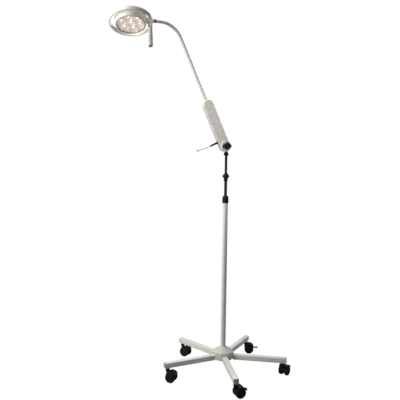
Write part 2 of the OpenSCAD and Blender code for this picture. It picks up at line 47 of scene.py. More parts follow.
def shift(x=0, y=0, z=0):
    return Matrix.Translation((x, y, z))


ROW = Matrix.Identity(4)

# base, in millimetres and degrees: heading of leg a and step to the next, underside of the legs
STAR_TURN, LEG_STEP = -81.8, 72
LEG_Z = 70
# the hub's flats about the pole and the top of its side faces
HUB_FLAT, HUB_TOP = 54, 108
# castors: swivel axes about the pole, axle from the swivel axis, wheel radius
SWIVEL_R, TRAIL, WHEEL_R = 315, 20, 26
# side of the fork's web and both faces of a wheel, from the castor's middle plane
FORK_SIDE, WHEEL_IN, WHEEL_OUT = 8, 8.5, 24.5
CASTOR_TURNS = (20, 57, -6, -33, -19)
LETTERS = "abcde"

# arm: lean from upright and its pivot, then the tube's straight, bend, level reach and radius
LEAN, PIVOT_X, PIVOT_Z = 25.2, 11, 1187
TUBE_STRAIGHT, BEND_R, TUBE_REACH, TUBE_R = 580.6, 111, 56.4, 7.5
BEND = 90 - LEAN
CORNER = TUBE_STRAIGHT + BEND_R * math.tan(math.radians(BEND / 2))
LEVEL_Z = PIVOT_Z + CORNER * math.cos(math.radians(LEAN))
BEND_END_X = PIVOT_X + CORNER * math.sin(math.radians(LEAN)) + BEND_R * math.tan(math.radians(BEND / 2))
JOINT_X = BEND_END_X + TUBE_REACH

# heading of the arm, the head's roll and nod at rest, and its centre from the joint pin
ARM_HEADING, HEAD_ROLL, HEAD_NOD, HEAD_REACH = 202, 18.5, 3.5, 95

ARM = turn(ARM_HEADING, "Z")
ALONG = ARM @ shift(PIVOT_X, 0, PIVOT_Z) @ turn(LEAN, "Y")
TUBE_END = ARM @ shift(JOINT_X, 0, LEVEL_Z) @ turn(HEAD_ROLL, "X")
HEAD = TUBE_END @ turn(-HEAD_NOD, "Y")
ABOUT = HEAD @ shift(HEAD_REACH)
FACING = turn(-90, "X")   # a lathe axis along +Y


def on_castor(i):
    heading = math.radians(STAR_TURN + i * LEG_STEP)
    return shift(SWIVEL_R * math.cos(heading), SWIVEL_R * math.sin(heading)) @ turn(CASTOR_TURNS[i], "Z")


# ---------------------------------------------------------------- camera
def set_camera():
    pitch, roll = math.radians(2.875), math.radians(0.80)
    forward = Vector((0, math.cos(pitch), -math.sin(pitch)))
    right = Vector((1, 0, 0))
    up = right.cross(forward)
    rolled_right = math.cos(roll) * right + math.sin(roll) * up
    rolled_up = -math.sin(roll) * right + math.cos(roll) * up
    data = bpy.data.cameras.new("camera")
    data.sensor_width = 36
    data.lens = 488.8 / 400 * 36
    data.clip_end = 60
    camera = bpy.data.objects.new("camera", data)
    basis = Matrix((rolled_right, rolled_up, -forward)).transposed().to_4x4()
    camera.matrix_world = shift(-0.1326, -2.5475, 1.0344) @ basis
    bpy.context.scene.collection.objects.link(camera)
    bpy.context.scene.camera = camera


# ---------------------------------------------------------------- mesh tools
def emit(name, verts, faces, place=ROW, sharp=35):
    """A mesh object from points in millimetres in the frame place."""
    mesh = bpy.data.meshes.new(name)
    mesh.from_pydata([(place @ Vector(v)) * MM for v in verts], [], faces)
    mesh.validate()
    bm = bmesh.new()
    bm.from_mesh(mesh)
    bmesh.ops.remove_doubles(bm, verts=bm.verts, dist=1e-6)
    bmesh.ops.recalc_face_normals(bm, faces=bm.faces)
    bm.to_mesh(mesh)
    bm.free()
    mesh.shade_smooth()
    mesh.set_sharp_from_angle(angle=math.radians(sharp))
    obj = bpy.data.objects.new(name, mesh)
    bpy.context.scene.collection.objects.link(obj)
    return obj


def soft(points, radius=1.0, steps=4, closed=True):
    """The same outline with its corners rounded."""
    pts = [Vector(p) for p in points]
    out = []
    for i, p in enumerate(pts):
        before, after = pts[i - 1], pts[(i + 1) % len(pts)]
        if (not closed and i in (0, len(pts) - 1)) or p[0] == 0:
            out.append(tuple(p))
            continue
        a, b = before - p, after - p
        r = min(radius, a.length * 0.48, b.length * 0.48)
        start, end = p + a.normalized() * r, p + b.normalized() * r
        for k in range(steps + 1):
            t = k / steps
            out.append(tuple((1 - t) ** 2 * start + 2 * t * (1 - t) * p + t * t * end))
    return out


def lathe_data(profile, closed=True, n=72, shape=None, arc=None):
    """Vertices and faces of an outline of (radius, height) turned about Z."""
    verts, rings = [], []
    full = arc is None
    count = n if full else n + 1
    for r, z in profile:
        if abs(r) < 1e-6:
            rings.append([len(verts)])
            verts.append((0, 0, z))
            continue
        ring = []
        for k in range(count):
            t = 2 * math.pi * k / n if full else math.radians(arc[0] + (arc[1] - arc[0]) * k / n)
            rr = shape(t, r, z) if shape else r
            ring.append(len(verts))
            verts.append((rr * math.cos(t), rr * math.sin(t), z))
        rings.append(ring)
    faces = []
    pairs = list(zip(rings, rings[1:])) + ([(rings[-1], rings[0])] if closed else [])
    for a, b in pairs:
        for k in range(n):
            k2 = (k + 1) % n if full else k + 1
            if len(a) == 1 and len(b) == 1:
                continue
            if len(a) == 1:
                faces.append((a[0], b[k], b[k2]))
            elif len(b) == 1:
                faces.append((a[k], b[0], a[k2]))
            else:
                faces.append((a[k], b[k], b[k2], a[k2]))
    if not full and closed:
        faces.append([ring[0] for ring in rings])
        faces.append([ring[-1] for ring in rings][::-1])
    return verts, faces


def stack_data(loops, cap=True):
    """Vertices and faces of a skin over closed loops of equal length."""
    verts = [tuple(p) for loop in loops for p in loop]
    m = len(loops[0])
    faces = []
    for j in range(len(loops) - 1):
        for k in range(m):
            k2 = (k + 1) % m
            faces.append((j * m + k, j * m + k2, (j + 1) * m + k2, (j + 1) * m + k))
    if cap:
        faces.append(list(range(m))[::-1])
        faces.append([(len(loops) - 1) * m + k for k in range(m)])
    return verts, faces


def sweep_data(points, radii, n=24):
    """A round tube along a path, capped."""
    pts = [Vector(p) for p in points]
    tangents = []
    for i in range(len(pts)):
        a, b = pts[max(i - 1, 0)], pts[min(i + 1, len(pts) - 1)]
        tangents.append((b - a).normalized())
    side = tangents[0].orthogonal().normalized()
    loops = []
    for p, t, r in zip(pts, tangents, radii):
        side = (side - side.dot(t) * t).normalized()
        other = t.cross(side)
        loops.append([p + r * (math.cos(2 * math.pi * k / n) * side + math.sin(2 * math.pi * k / n) * other)
                      for k in range(n)])
    return stack_data(loops)


def moved(data, place):
    verts, faces = data
    return [tuple(place @ Vector(v)) for v in verts], faces


def together(*parts):
    verts, faces = [], []
    for v, f in parts:
        start = len(verts)
        verts += v
        faces += [[i + start for i in face] for face in f]
    return verts, faces


def stadium_loop(r, length, y, n=24):
    """A loop around two round ends, in the arm's plane, at depth y."""
    loop = []
    for k in range(n + 1):
        t = math.pi * k / n
        loop.append((r * math.cos(t), y, length + r * math.sin(t)))
    for k in range(n + 1):
        t = math.pi + math.pi * k / n
        loop.append((r * math.cos(t), y, r * math.sin(t)))
    return loop


def rounded_box_data(x, y, z, radius=1.0, steps=3):
    """A box with every vertical and horizontal edge eased: stacked rounded rectangles along X."""
    (x0, x1), (y0, y1), (z0, z1) = x, y, z

    def rectangle(at, inset):
        pts = soft([(y0 + inset, z0 + inset), (y1 - inset, z0 + inset), (y1 - inset, z1 - inset),
                    (y0 + inset, z1 - inset)], radius, steps)
        return [(at, a, b) for a, b in pts]

    loops = [rectangle(x0 + radius * (1 - math.cos(math.pi / 2 * k / steps)),
                       radius * (1 - math.sin(math.pi / 2 * k / steps))) for k in range(steps + 1)]
    loops += [rectangle(x1 - radius * (1 - math.cos(math.pi / 2 * k / steps)),
                        radius * (1 - math.sin(math.pi / 2 * k / steps))) for k in range(steps, -1, -1)]
    return stack_data(loops)


def eased(node, width, name=None, segments=3, angle=32):
    """A copy of a CAD node with its edges rounded as moulding or grinding leaves them."""
    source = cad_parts[node]
    mesh = source.data.copy()
    bm = bmesh.new()
    bm.from_mesh(mesh)
    bmesh.ops.remove_doubles(bm, verts=bm.verts, dist=2e-6)
    bmesh.ops.dissolve_limit(bm, angle_limit=math.radians(0.5), verts=bm.verts, edges=bm.edges)
    edges = [e for e in bm.edges if len(e.link_faces) == 2 and e.calc_face_angle(0) > math.radians(angle)]
    bmesh.ops.bevel(bm, geom=edges, offset=width * MM, offset_type="OFFSET", segments=segments,
                    profile=0.5, affect="EDGES", clamp_overlap=True)
    bm.to_mesh(mesh)
    bm.free()
    mesh.materials.clear()
    mesh.shade_smooth()
    mesh.set_sharp_from_angle(angle=math.radians(angle))
    obj = bpy.data.objects.new(name or node + "_shape", mesh)
    bpy.context.scene.collection.objects.link(obj)
    return obj


def place_piece(obj, body, finish, *nodes):
    """Rides on its body, takes its finish and stands for its CAD nodes."""
    obj.data.materials.clear()
    obj.data.materials.append(finish[1])
    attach(obj, body)
    if nodes:
        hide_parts(*nodes)
    return obj


# ---------------------------------------------------------------- finishes
class Nodes:
    """A small helper that wires one material's node tree."""

    def __init__(self, name):
        self.material = bpy.data.materials.new(name)
        self.material.use_nodes = True
        self.tree = self.material.node_tree
        self.shader = self.tree.nodes["Principled BSDF"]
        self.coords = self.tree.nodes.new("ShaderNodeTexCoord").outputs["Object"]

    def set(self, **values):
        for key, value in values.items():
            self.shader.inputs[key.replace("_", " ")].default_value = value

    def stretched(self, scale, turned=(0, 0, 0)):
        mapping = self.tree.nodes.new("ShaderNodeMapping")
        mapping.inputs["Scale"].default_value = scale
        mapping.inputs["Rotation"].default_value = turned
        self.tree.links.new(self.coords, mapping.inputs["Vector"])
        return mapping.outputs["Vector"]

    def noise(self, scale, detail=3.0, rough=0.5, vector=None):
        node = self.tree.nodes.new("ShaderNodeTexNoise")
        node.inputs["Scale"].default_value = scale
        node.inputs["Detail"].default_value = detail
        node.inputs["Roughness"].default_value = rough
        self.tree.links.new(vector or self.coords, node.inputs["Vector"])
        return node.outputs["Fac"]

    def ramp(self, value, stops):
        node = self.tree.nodes.new("ShaderNodeValToRGB")
        elements = node.color_ramp.elements
        while len(elements) < len(stops):
            elements.new(0.5)
        for element, (at, colour) in zip(elements, stops):
            element.position = at
            element.color = (*colour, 1)
        self.tree.links.new(value, node.inputs["Fac"])
        return node.outputs["Color"]

    def blend(self, a, b, amount):
        node = self.tree.nodes.new("ShaderNodeMix")
        node.data_type = "RGBA"
        node.inputs["Factor"].default_value = amount
        self.tree.links.new(a, node.inputs["A"])
        self.tree.links.new(b, node.inputs["B"])
        return node.outputs["Result"]

    def spread(self, value, low, high):
        node = self.tree.nodes.new("ShaderNodeMapRange")
        node.inputs["From Min"].default_value = 0.3
        node.inputs["From Max"].default_value = 0.7
        node.inputs["To Min"].default_value = low
        node.inputs["To Max"].default_value = high
        self.tree.links.new(value, node.inputs["Value"])
        return node.outputs["Result"]

    def bump(self, height, distance, strength=1.0, below=None):
        node = self.tree.nodes.new("ShaderNodeBump")
        node.inputs["Distance"].default_value = distance
        node.inputs["Strength"].default_value = strength
        self.tree.links.new(height, node.inputs["Height"])
        if below:
            self.tree.links.new(below, node.inputs["Normal"])
        return node.outputs["Normal"]

    def wire(self, **links):
        for key, value in links.items():
            self.tree.links.new(value, self.shader.inputs[key.replace("_", " ")])
        return self.material


def tinted(colour, factor):
    return tuple(min(1, c * factor) for c in colour)


def powder_coat(name, colour, rough=0.42, gloss=0.45, coat=0.15):
    """Thin coat on metal: orange peel, faint clouding, fine specks."""
    n = Nodes(name)
    cloud = n.ramp(n.noise(9, 4), [(0.3, tinted(colour, 0.955)), (0.7, tinted(colour, 1.02))])
    specks = n.ramp(n.noise(900, 2), [(0.25, tinted(colour, 0.86)), (0.40, colour)])
    peel = n.bump(n.noise(420, 2, 0.4), 0.00006, 0.5)
    n.set(Specular_IOR_Level=gloss, Coat_Weight=coat, Coat_Roughness=0.25)
    return n.wire(Base_Color=n.blend(cloud, specks, 0.35), Roughness=n.spread(n.noise(35, 3), rough - 0.05,
        rough + 0.08),
                  Normal=peel)


def moulded(name, colour, rough=0.45, grain=1500, depth=0.00002, dust=None, gloss=0.5):
    """Moulded plastic: fine spark-eroded grain, soft clouding, a trace of handling."""
    n = Nodes(name)
    cloud = n.ramp(n.noise(14, 5), [(0.3, tinted(colour, 0.94)), (0.7, tinted(colour, 1.03))])
    rubbed = n.ramp(n.noise(60, 6, 0.65), [(0.45, colour), (0.8, dust or tinted(colour, 0.9))])
    fine = n.bump(n.noise(grain, 3, 0.6), depth, 0.6)
    soft_wave = n.bump(n.noise(45, 2), 0.00015, 0.2, fine)
    n.set(Specular_IOR_Level=gloss)
    return n.wire(Base_Color=n.blend(cloud, rubbed, 0.4), Roughness=n.spread(n.noise(50, 4), rough - 0.06,
        rough + 0.1),
                  Normal=soft_wave)


def drawn_metal(name, colour, rough=0.3, stretch=(900, 900, 12), metallic=1.0, turned=(0, 0, 0)):
    """Metal with drawing or grinding lines."""
    n = Nodes(name)
    lines = n.noise(1, 4, 0.6, n.stretched(stretch, turned))
    n.set(Metallic=metallic)
    tone = n.ramp(lines, [(0.3, tinted(colour, 0.8)), (0.7, tinted(colour, 1.1))])
    return n.wire(Base_Color=tone, Roughness=n.spread(lines, rough - 0.08, rough + 0.12),
                  Normal=n.bump(lines, 0.00003, 0.4))


# Painted light: the reflector's own colour also emits faintly, a painted glow in place of LED light
# reflected in the cups.
def reflector_painted_glow(name, colour, glow):
    n = Nodes(name)
    tone = n.ramp(n.noise(160, 3), [(0.3, tinted(colour, 0.92)), (0.7, tinted(colour, 1.05))])
    n.set(Metallic=0.15, Emission_Color=(*colour, 1), Emission_Strength=glow)
    n.material.cycles.emission_sampling = "NONE"  # a faint glow, not a lamp
    return n.wire(Base_Color=tone, Roughness=n.spread(n.noise(400, 3), 0.16, 0.34),
                  Normal=n.bump(n.noise(700, 2), 0.00006, 0.35))


def lens_finish():
    n = Nodes("lens_clear")
    n.set(Alpha=0.16, Coat_Weight=0.6, Coat_Roughness=0.04, IOR=1.49)
    n.material.surface_render_method = "BLENDED"
    tone = n.ramp(n.noise(60, 3), [(0.3, (0.93, 0.90, 0.90)), (0.7, (0.98, 0.96, 0.96))])
    return n.wire(Base_Color=tone, Roughness=n.spread(n.noise(300, 3), 0.06, 0.14),
                  Normal=n.bump(n.noise(260, 2), 0.00008, 0.3))


def emitter_finish():
    n = Nodes("emitter_lit")
    n.set(Emission_Strength=3)
    n.material.cycles.emission_sampling = "NONE"
    glow = n.ramp(n.noise(900, 2), [(0.3, (1.0, 0.90, 0.72)), (0.7, (1.0, 0.97, 0.90))])
    n.tree.links.new(glow, n.shader.inputs["Emission Color"])
    return n.wire(Base_Color=glow, Roughness=n.spread(n.noise(500, 2), 0.2, 0.4))


def rubber_finish(name, colour, rough=0.7):
    """Rubber or soft vinyl: matte, dusty, with a coarse skin."""
    return moulded(name, colour, rough, grain=700, depth=0.00006, dust=tinted(colour, 1.9), gloss=0.22)


IVORY = (0.80, 0.785, 0.75)
PAINT = ("white_paint", powder_coat("paint_ivory", IVORY))
SHELL = ("white_plastic", moulded("shell_ivory", (0.80, 0.785, 0.75), 0.38))
HUB = ("white_plastic", moulded("shell_hub", (0.66, 0.65, 0.63), 0.42))
CAP = ("cap_grey", moulded("cap_grey", (0.42, 0.43, 0.45), 0.45))
BLACK = ("black_plastic", moulded("plastic_black", (0.007, 0.0065, 0.0065), 0.5,
                                  dust=(0.014, 0.0135, 0.013), gloss=0.24))
ENAMEL = ("black_enamel", powder_coat("enamel_black", (0.006, 0.0055, 0.0055), 0.5, 0.24, 0))
TREAD = ("wheel_black", rubber_finish("tread_black", (0.009, 0.0085, 0.0085)))
GREEN = ("green_plastic", moulded("plastic_green", (0.60, 0.72, 0.03), 0.4))
STEEL = ("steel", drawn_metal("steel_ground", (0.62, 0.61, 0.60)))
SLEEVE = ("sleeve_grey", moulded("sleeve_grey", (0.13, 0.115, 0.10), 0.4))
RELIEF = ("relief_rubber", rubber_finish("relief_black", (0.007, 0.0065, 0.0065), 0.7))
LEAD = ("lead_grey", rubber_finish("lead_grey", (0.58, 0.55, 0.53), 0.5))
PLUG = ("connector_metal", drawn_metal("connector_nickel", (0.78, 0.75, 0.73), 0.35))
BEZEL = ("bezel_plastic", moulded("bezel_grey", (0.52, 0.49, 0.47), 0.35))
LENS = ("lens_glass", lens_finish())
# The reflector plate and cups carry a faint painted glow, though they are no lamp.
SILVER_PAINTED_GLOW = ("reflector_silver", reflector_painted_glow("reflector_plate_painted_glow", (0.93, 0.83, 0.78), 0.2))
# Painted shade: the deep cup walls take this darker colour than the plate, shade painted into the recess.
CUP_PAINTED_SHADE = ("reflector_silver", reflector_painted_glow("reflector_cup_painted_shade", (0.62, 0.60, 0.60), 0.15))
BOARD = ("board_white", moulded("board_white", (0.80, 0.78, 0.74), 0.5))
EMITTER = ("emitter_yellow", emitter_finish())
BUTTON = ("button_grey", moulded("button_grey", (0.24, 0.22, 0.20), 0.5))


# ---------------------------------------------------------------- the lead, first
LEAD_POINTS = [(0, 0), (4, -1.87), (8, -3.7), (12, -5.5), (16, -7.2), (20, -8.8), (24.5, -10.5),
               (29, -12.1),
               (34, -13.8), (39, -15.4), (44, -17.0), (49, -18.6), (54, -20.3), (58.5, -21.9), (62, -23.2)]
LEAN_SIN, LEAN_COS = math.sin(math.radians(LEAN)), math.cos(math.radians(LEAN))
LEAD_TIP = (PIVOT_X + 32 * LEAN_SIN + 73 * LEAN_COS, PIVOT_Z + 32 * LEAN_COS - 73 * LEAN_SIN)


def make_lead():
    route = [(LEAD_TIP[0] + x, 0, LEAD_TIP[1] + z) for x, z in LEAD_POINTS]
    lead = emit("lead", *sweep_data(route, [2.0] * len(route), 20), ARM)
    place_piece(lead, "arm", LEAD, "power_lead")

    last, before = Vector(LEAD_POINTS[-1]), Vector(LEAD_POINTS[-2])
    step = last - before
    aim = ARM @ shift(route[-1][0], 0, route[-1][2]) @ turn(90 - math.degrees(math.atan2(step.y, step.x)),
                                                            "Y")
    ribs = []
    for k in range(5):
        ribs += [(3.6, 1.2 + 1.5 * k), (3.15, 1.5 + 1.5 * k), (3.15, 1.9 + 1.5 * k), (3.6, 2.2 + 1.5 * k)]
    body = soft([(0, 0), (3.3, 0)] + ribs + [(3.6, 8.6), (2.75, 9.0), (0, 9.0)], 0.3, 2, False)
    barrel = soft([(0, 8.8), (2.75, 8.8), (2.75, 18.5), (1.3, 18.5), (1.3, 11), (0, 11)], 0.35, 3, False)
    ring = soft([(2.7, 15.2), (2.8, 15.2), (2.8, 16.0), (2.7, 16.0)], 0.1, 2)
    plug = emit("lead_plug_barrel", *together(lathe_data(barrel, False, 40), lathe_data(ring, True, 40)),
                aim)
    place_piece(plug, "arm", PLUG, "lead_connector")
    grip = emit("lead_plug_body", *lathe_data(body, False, 40), aim)
    place_piece(grip, "arm", LEAD)


# ---------------------------------------------------------------- base
def make_base():
    place_piece(eased("hub_body", 1.6), "base", HUB, "hub_body")
    cover = soft([(HUB_FLAT - 0.2, HUB_TOP), (HUB_FLAT, HUB_TOP + 2), (HUB_FLAT - 16, HUB_TOP + 12),
                  (HUB_FLAT - 32, HUB_TOP + 22.5), (14.95, HUB_TOP + 27), (13.6, HUB_TOP + 28),
                  (13.6, HUB_TOP + 22), (HUB_FLAT - 32, HUB_TOP + 20), (HUB_FLAT - 17, HUB_TOP + 9.5),
                  (HUB_FLAT - 2.5, HUB_TOP)], 5, 6)
    place_piece(emit("hub_cover_shape", *lathe_data(cover, True, 96)), "base", HUB, "hub_cover")
    place_piece(eased("pole_bolt", 0.5), "base", STEEL, "pole_bolt")
    for letter in LETTERS:
        place_piece(eased("leg_" + letter, 2.2, segments=4), "base", PAINT, "leg_" + letter)
    place_piece(eased("leg_end_caps", 0.9), "base", CAP, "leg_end_caps")
    place_piece(eased("castor_stems", 0.4), "base", STEEL, "castor_stems")


def wheel_profile():
    inner, outer = WHEEL_IN, WHEEL_OUT
    tread = [(WHEEL_R - 1.0, inner + 0.2), (WHEEL_R, inner + 2.0), (WHEEL_R, inner + 5.2),
             (WHEEL_R - 0.5, inner + 5.6),
             (WHEEL_R - 0.5, inner + 6.2), (WHEEL_R, inner + 6.6), (WHEEL_R, outer - 4),
             (WHEEL_R - 1.2, outer - 1.6),
             (WHEEL_R - 4, outer - 0.2)]
    face = [(WHEEL_R - 5.5, outer - 0.2), (WHEEL_R - 6.2, outer - 1.6), (WHEEL_R - 7.4, outer - 1.6),
            (13.5, outer - 0.5), (9.5, outer - 0.2), (8.8, outer - 1.2), (8.0, outer - 1.2), (7.4, outer),
            (0, outer)]
    back = [(0, inner + 3), (3.1, inner), (8, inner), (8, inner + 3), (WHEEL_R - 4, inner + 3),
            (WHEEL_R - 4, inner + 0.2)]
    return soft(back + tread + face, 0.5, 3, False)


def fork_shape(i, braked):
    """Hood over both wheels, web between them, swivel neck and axle caps."""
    hood_in, hood_out, half = WHEEL_R + 0.8, WHEEL_R + 3, WHEEL_OUT
    outline = soft([(hood_in, -half), (hood_out - 0.6, -half), (hood_out, -half + 1.6), (hood_out, 0),
                    (hood_out, half - 1.6), (hood_out - 0.6, half), (hood_in, half)], 0.9, 3)
    about_axle = shift(TRAIL, 0, WHEEL_R) @ turn(90, "X")
    hood = moved(lathe_data(outline, True, 40, None, (28, 128)), about_axle)
    neck_top = LEG_Z - 4
    neck = lathe_data(soft([(5.6, 48), (9.5, 48), (9.5, neck_top - 9), (10.5, neck_top - 7.4),
                            (10.5, neck_top),
                            (5.6, neck_top)], 0.9, 3), True, 48)
    web = [(TRAIL + (hood_in + 0.8) * math.cos(math.radians(a)),
            WHEEL_R + (hood_in + 0.8) * math.sin(math.radians(a)))
           for a in range(64, 130, 6)]
    web += [(-7.2, 42), (-7.6, 36), (-5, 26), (2, 15), (13, 8.5), (24, 8.5), (31, 14), (31, 45)]
    loops = []
    for y, inset in ((-FORK_SIDE, 0.9), (0.9 - FORK_SIDE, 0), (FORK_SIDE - 0.9, 0), (FORK_SIDE, 0.9)):
        centre = Vector((12, 32))
        loop = []
        for p in soft(web, 2, 3):
            v = Vector(p)
            d = (v - centre)
            loop.append((*(v - d.normalized() * inset),))
        loops.append([(p[0], y, p[1]) for p in loop])
    parts = [hood, neck, stack_data(loops)]
    for side in (-1, 1):
        face = WHEEL_IN - 0.2   # running clearance to the wheel
        boss = soft([(0, FORK_SIDE), (7.6, FORK_SIDE), (7.6, face - 0.1), (6.4, face), (0, face)], 0.1, 2,
                    False)
        parts.append(moved(lathe_data(boss, False, 36), shift(TRAIL, 0, WHEEL_R) @ turn(-90 * side, "X")))
    if braked:
        for side in (-1, 1):
            cheek = rounded_box_data((TRAIL + 9, 41), (min(side * 6.3, side * 8), max(side * 6.3,
                side * 8)), (29, 39), 0.7)
            parts.append(cheek)
        pin = soft([(0, -7), (2, -7), (2, 7), (0, 7)], 0.3, 2, False)
        parts.append(moved(lathe_data(pin, False, 24), shift(38, 0, 34) @ turn(90, "X")))
    return emit(f"castor_{LETTERS[i]}_fork_shape", *together(*parts), on_castor(i))


def make_castors():
    for i, letter in enumerate(LETTERS):
        braked = letter in "ac"
        name = "castor_" + letter
        place_piece(fork_shape(i, braked), name, BLACK, name + "_fork")
        for side, sign in (("l", 1), ("r", -1)):
            wheel = lathe_data(wheel_profile(), False, 72)
            place = on_castor(i) @ shift(TRAIL, 0, WHEEL_R) @ turn(-90 * sign, "X")
            node = f"{name}_wheel_{side}"
            place_piece(emit(node + "_shape", *wheel, place), node, TREAD, node)
    place_piece(eased("brake_pedal_a", 0.9), "brake_pedal_a", BLACK, "brake_pedal_a")
    place_piece(eased("brake_pedal_c", 0.9), "brake_pedal_c", GREEN, "brake_pedal_c")


# ---------------------------------------------------------------- pole
def fluted(count, depth, low, high):
    """Shallow grip flutes around a turned part, only between two radii."""
    def shape(t, r, z):
        if r < low or r > high + 1e-6:
            return r
        wave = 0.5 - 0.5 * math.cos(count * t)
        return r - depth * wave ** 3 * min(1, (r - low) / max(high - low, 1e-6) * 2)
    return shape


def make_pole():
    place_piece(eased("pole_tube", 0.7), "base", PAINT, "pole_tube")
    place_piece(eased("pole_bush", 0.5), "base", BLACK, "pole_bush")
    nut = soft([(13.55, 892.6), (14.5, 892.6), (16.3, 896.6), (16.3, 923.2), (14.3, 926.7), (9.5, 930.7),
                (7.7, 930.7), (7.7, 908.3), (13.55, 908.3)], 1.6, 5)
    place_piece(emit("pole_clamp_nut_shape", *lathe_data(nut, True, 144, fluted(18, 0.9, 15.2, 16.3))),
                "pole_nut",
                BLACK, "pole_clamp_nut")
    place_piece(eased("middle_rod", 0.5), "middle_stage", ENAMEL, "middle_rod")
    place_piece(eased("rod_collar", 0.8), "middle_stage", BLACK, "rod_collar")
    foot = 1020.3
    ring = soft([(9.1, foot), (11.5, foot), (12.5, foot + 4), (19, foot + 10.5), (19, foot + 12),
                 (10, foot + 25),
                 (8, foot + 27), (6.8, foot + 27), (6.8, foot + 20), (9.1, foot + 20)], 1.2, 4)
    place_piece(emit("rod_clamp_ring_shape", *lathe_data(ring, True, 144, fluted(12, 1.6, 13.5, 19))),
                "clamp_ring",
                BLACK, "rod_clamp_ring")
    place_piece(eased("upper_rod", 0.5), "upper_stage", ENAMEL, "upper_rod")
    bell = 1139
    bell_profile = soft([(6.7, bell), (10.5, bell + 0.5), (12.2, bell + 2.5), (13, bell + 7),
                         (12, bell + 11.5),
                         (8.5, bell + 17), (6.8, bell + 20.5), (4.45, bell + 20.5), (4.45, bell + 9),
                         (6.7, bell + 9)], 1.6, 5)
    place_piece(emit("bell_collar_shape", *lathe_data(bell_profile, True, 72)), "upper_stage", BLACK,
                "bell_collar")
    place_piece(eased("arm_bracket", 0.9), "bracket", PAINT, "arm_bracket")


# ---------------------------------------------------------------- arm
def casing_half_shape(side):
    """A moulded half: rounded outer edge, flat face, a shadow line at the seam."""
    depth, radius, length, ease = 15, 27, 226, 3.4
    loops = [stadium_loop(radius - 3, length, 0.2), stadium_loop(radius - 0.9, length, 0.2),
             stadium_loop(radius - 0.3, length, 0.35), stadium_loop(radius, length, 0.9),
             stadium_loop(radius, length, 5)]
    for k in range(1, 9):
        t = math.pi / 2 * k / 8
        loops.append(stadium_loop(radius - ease * (1 - math.cos(t)), length,
                                  depth - ease + ease * math.sin(t)))
    loops.append(stadium_loop(radius - ease - 2, length, depth))
    outer = stack_data(loops, False)
    verts, faces = outer
    m = len(loops[0])
    faces.append([(len(loops) - 1) * m + k for k in range(m)])
    inner = stack_data([stadium_loop(radius - 3, length, 0.2), stadium_loop(radius - 3, length, depth - 3)],
                       False)
    inner[1].append([m + k for k in range(m)])
    data = together((verts, faces), inner)
    if side < 0:
        data = ([(x, -y, z) for x, y, z in data[0]], data[1])
    name = "casing_front" if side > 0 else "casing_rear"
    return emit(name + "_shape", *data, ALONG, 40)


def screw_data(x):
    head = soft([(0, 14.8), (0.9, 14.8), (1.1, 15.3), (2.6, 15.35), (3.2, 15.1), (3.4, 14.6), (0, 14.6)],
                0.15, 3, False)
    return moved(lathe_data(head, False, 32), shift(x, 0, 228) @ FACING)


def knob_shape():
    """Two long and two short smooth lobes with a dished face, on a short round neck."""
    back, face = 25.3, 44.3

    def lobes(t, r, z):
        share = max(0.0, min(1.0, (r - 10.5) / 12.5))
        a = t + math.radians(LEAN)
        return r - share * (2.5 * (1 - math.cos(2 * a)) + 2 * (1 - math.cos(4 * a)))

    outline = soft([(6.1, back), (10.5, back), (10.5, back + 4.4), (20, back + 5), (23, back + 7.5),
                    (23, face - 4),
                    (20.4, face - 0.8), (16.5, face), (9.5, face - 1.0), (8.8, face - 1.0),
                    (8.0, face - 0.2), (0, face)],
                   1.8, 5, False)
    hollow = [(0, face - 7.5), (6.1, face - 7.5)]
    return emit("pivot_knob_shape", *lathe_data(hollow + outline, False, 160, lobes), ALONG @ FACING)


def along_tube(start, level):
    """The tube's centre line in the arm's leaning frame, with one bend."""
    points = [(0, 0, start + (TUBE_STRAIGHT - start) * k / 24) for k in range(25)]
    for k in range(1, 41):
        a = math.radians(BEND * k / 40)
        points.append((BEND_R - BEND_R * math.cos(a), 0, TUBE_STRAIGHT + BEND_R * math.sin(a)))
    a = math.radians(BEND)
    direction = (math.sin(a), 0, math.cos(a))
    end = points[-1]
    points += [tuple(e + d * level * k / 4 for e, d in zip(end, direction)) for k in range(1, 5)]
    return points


def make_arm():
    for side, node in ((1, "casing_front"), (-1, "casing_rear")):
        place_piece(casing_half_shape(side), "arm", SHELL, node)
    place_piece(emit("casing_screws_shape", *together(screw_data(-18), screw_data(18)), ALONG), "arm",
                STEEL,
                "casing_screws")
    boss = soft([(6.05, 15), (28, 15.0), (28, 22.4), (25.6, 24.9), (21.6, 25.0), (20.9, 24.2),
                 (6.05, 24.2)], 1.6, 6)
    place_piece(emit("pivot_boss_shape", *lathe_data(boss, True, 96), ALONG @ FACING), "arm", SHELL,
                "pivot_boss")
    place_piece(eased("pivot_shaft", 0.5), "arm", STEEL, "pivot_shaft")
    place_piece(knob_shape(), "tilt_knob", BLACK, "pivot_knob")
    route = along_tube(166, TUBE_REACH - 30 + 5)
    place_piece(emit("arm_tube_shape", *sweep_data(route, [TUBE_R] * len(route), 48), ALONG), "arm", PAINT,
                "arm_tube")
    sleeve = soft([(7.5, -30), (8.5, -30), (8.5, -20), (6.0, -20), (6.0, -25), (7.5, -25)], 0.6, 4)
    rings = [lathe_data(soft([(8.4, z), (8.75, z), (8.75, z + 1), (8.4, z + 1)], 0.2, 2), True,
                        48) for z in (-28.6, -22.4)]
    place_piece(emit("tube_sleeve_shape", *together(lathe_data(sleeve, True, 48), *rings),
                     ARM @ shift(JOINT_X, 0, LEVEL_Z) @ turn(90, "Y")), "arm", SLEEVE, "tube_sleeve")
    ribs = [(0, 24), (4.0, 24), (4.0, 27.0), (5.5, 27.2), (5.9, 29.0), (5.6, 31.5)]
    for k in range(9):
        z = 33 + k * 4.2
        r = 5.4 - 0.1 * k
        ribs += [(r, z), (r, z + 2.1), (r - 0.8, z + 2.5), (r - 0.8, z + 3.8)]
    ribs += [(4.4, 71), (4.0, 73), (0, 73)]
    place_piece(emit("strain_relief_shape", *lathe_data(soft(ribs, 0.45, 3, False), False, 40),
                     ALONG @ shift(0, 0, 32) @ turn(90, "Y")), "arm", RELIEF, "strain_relief")


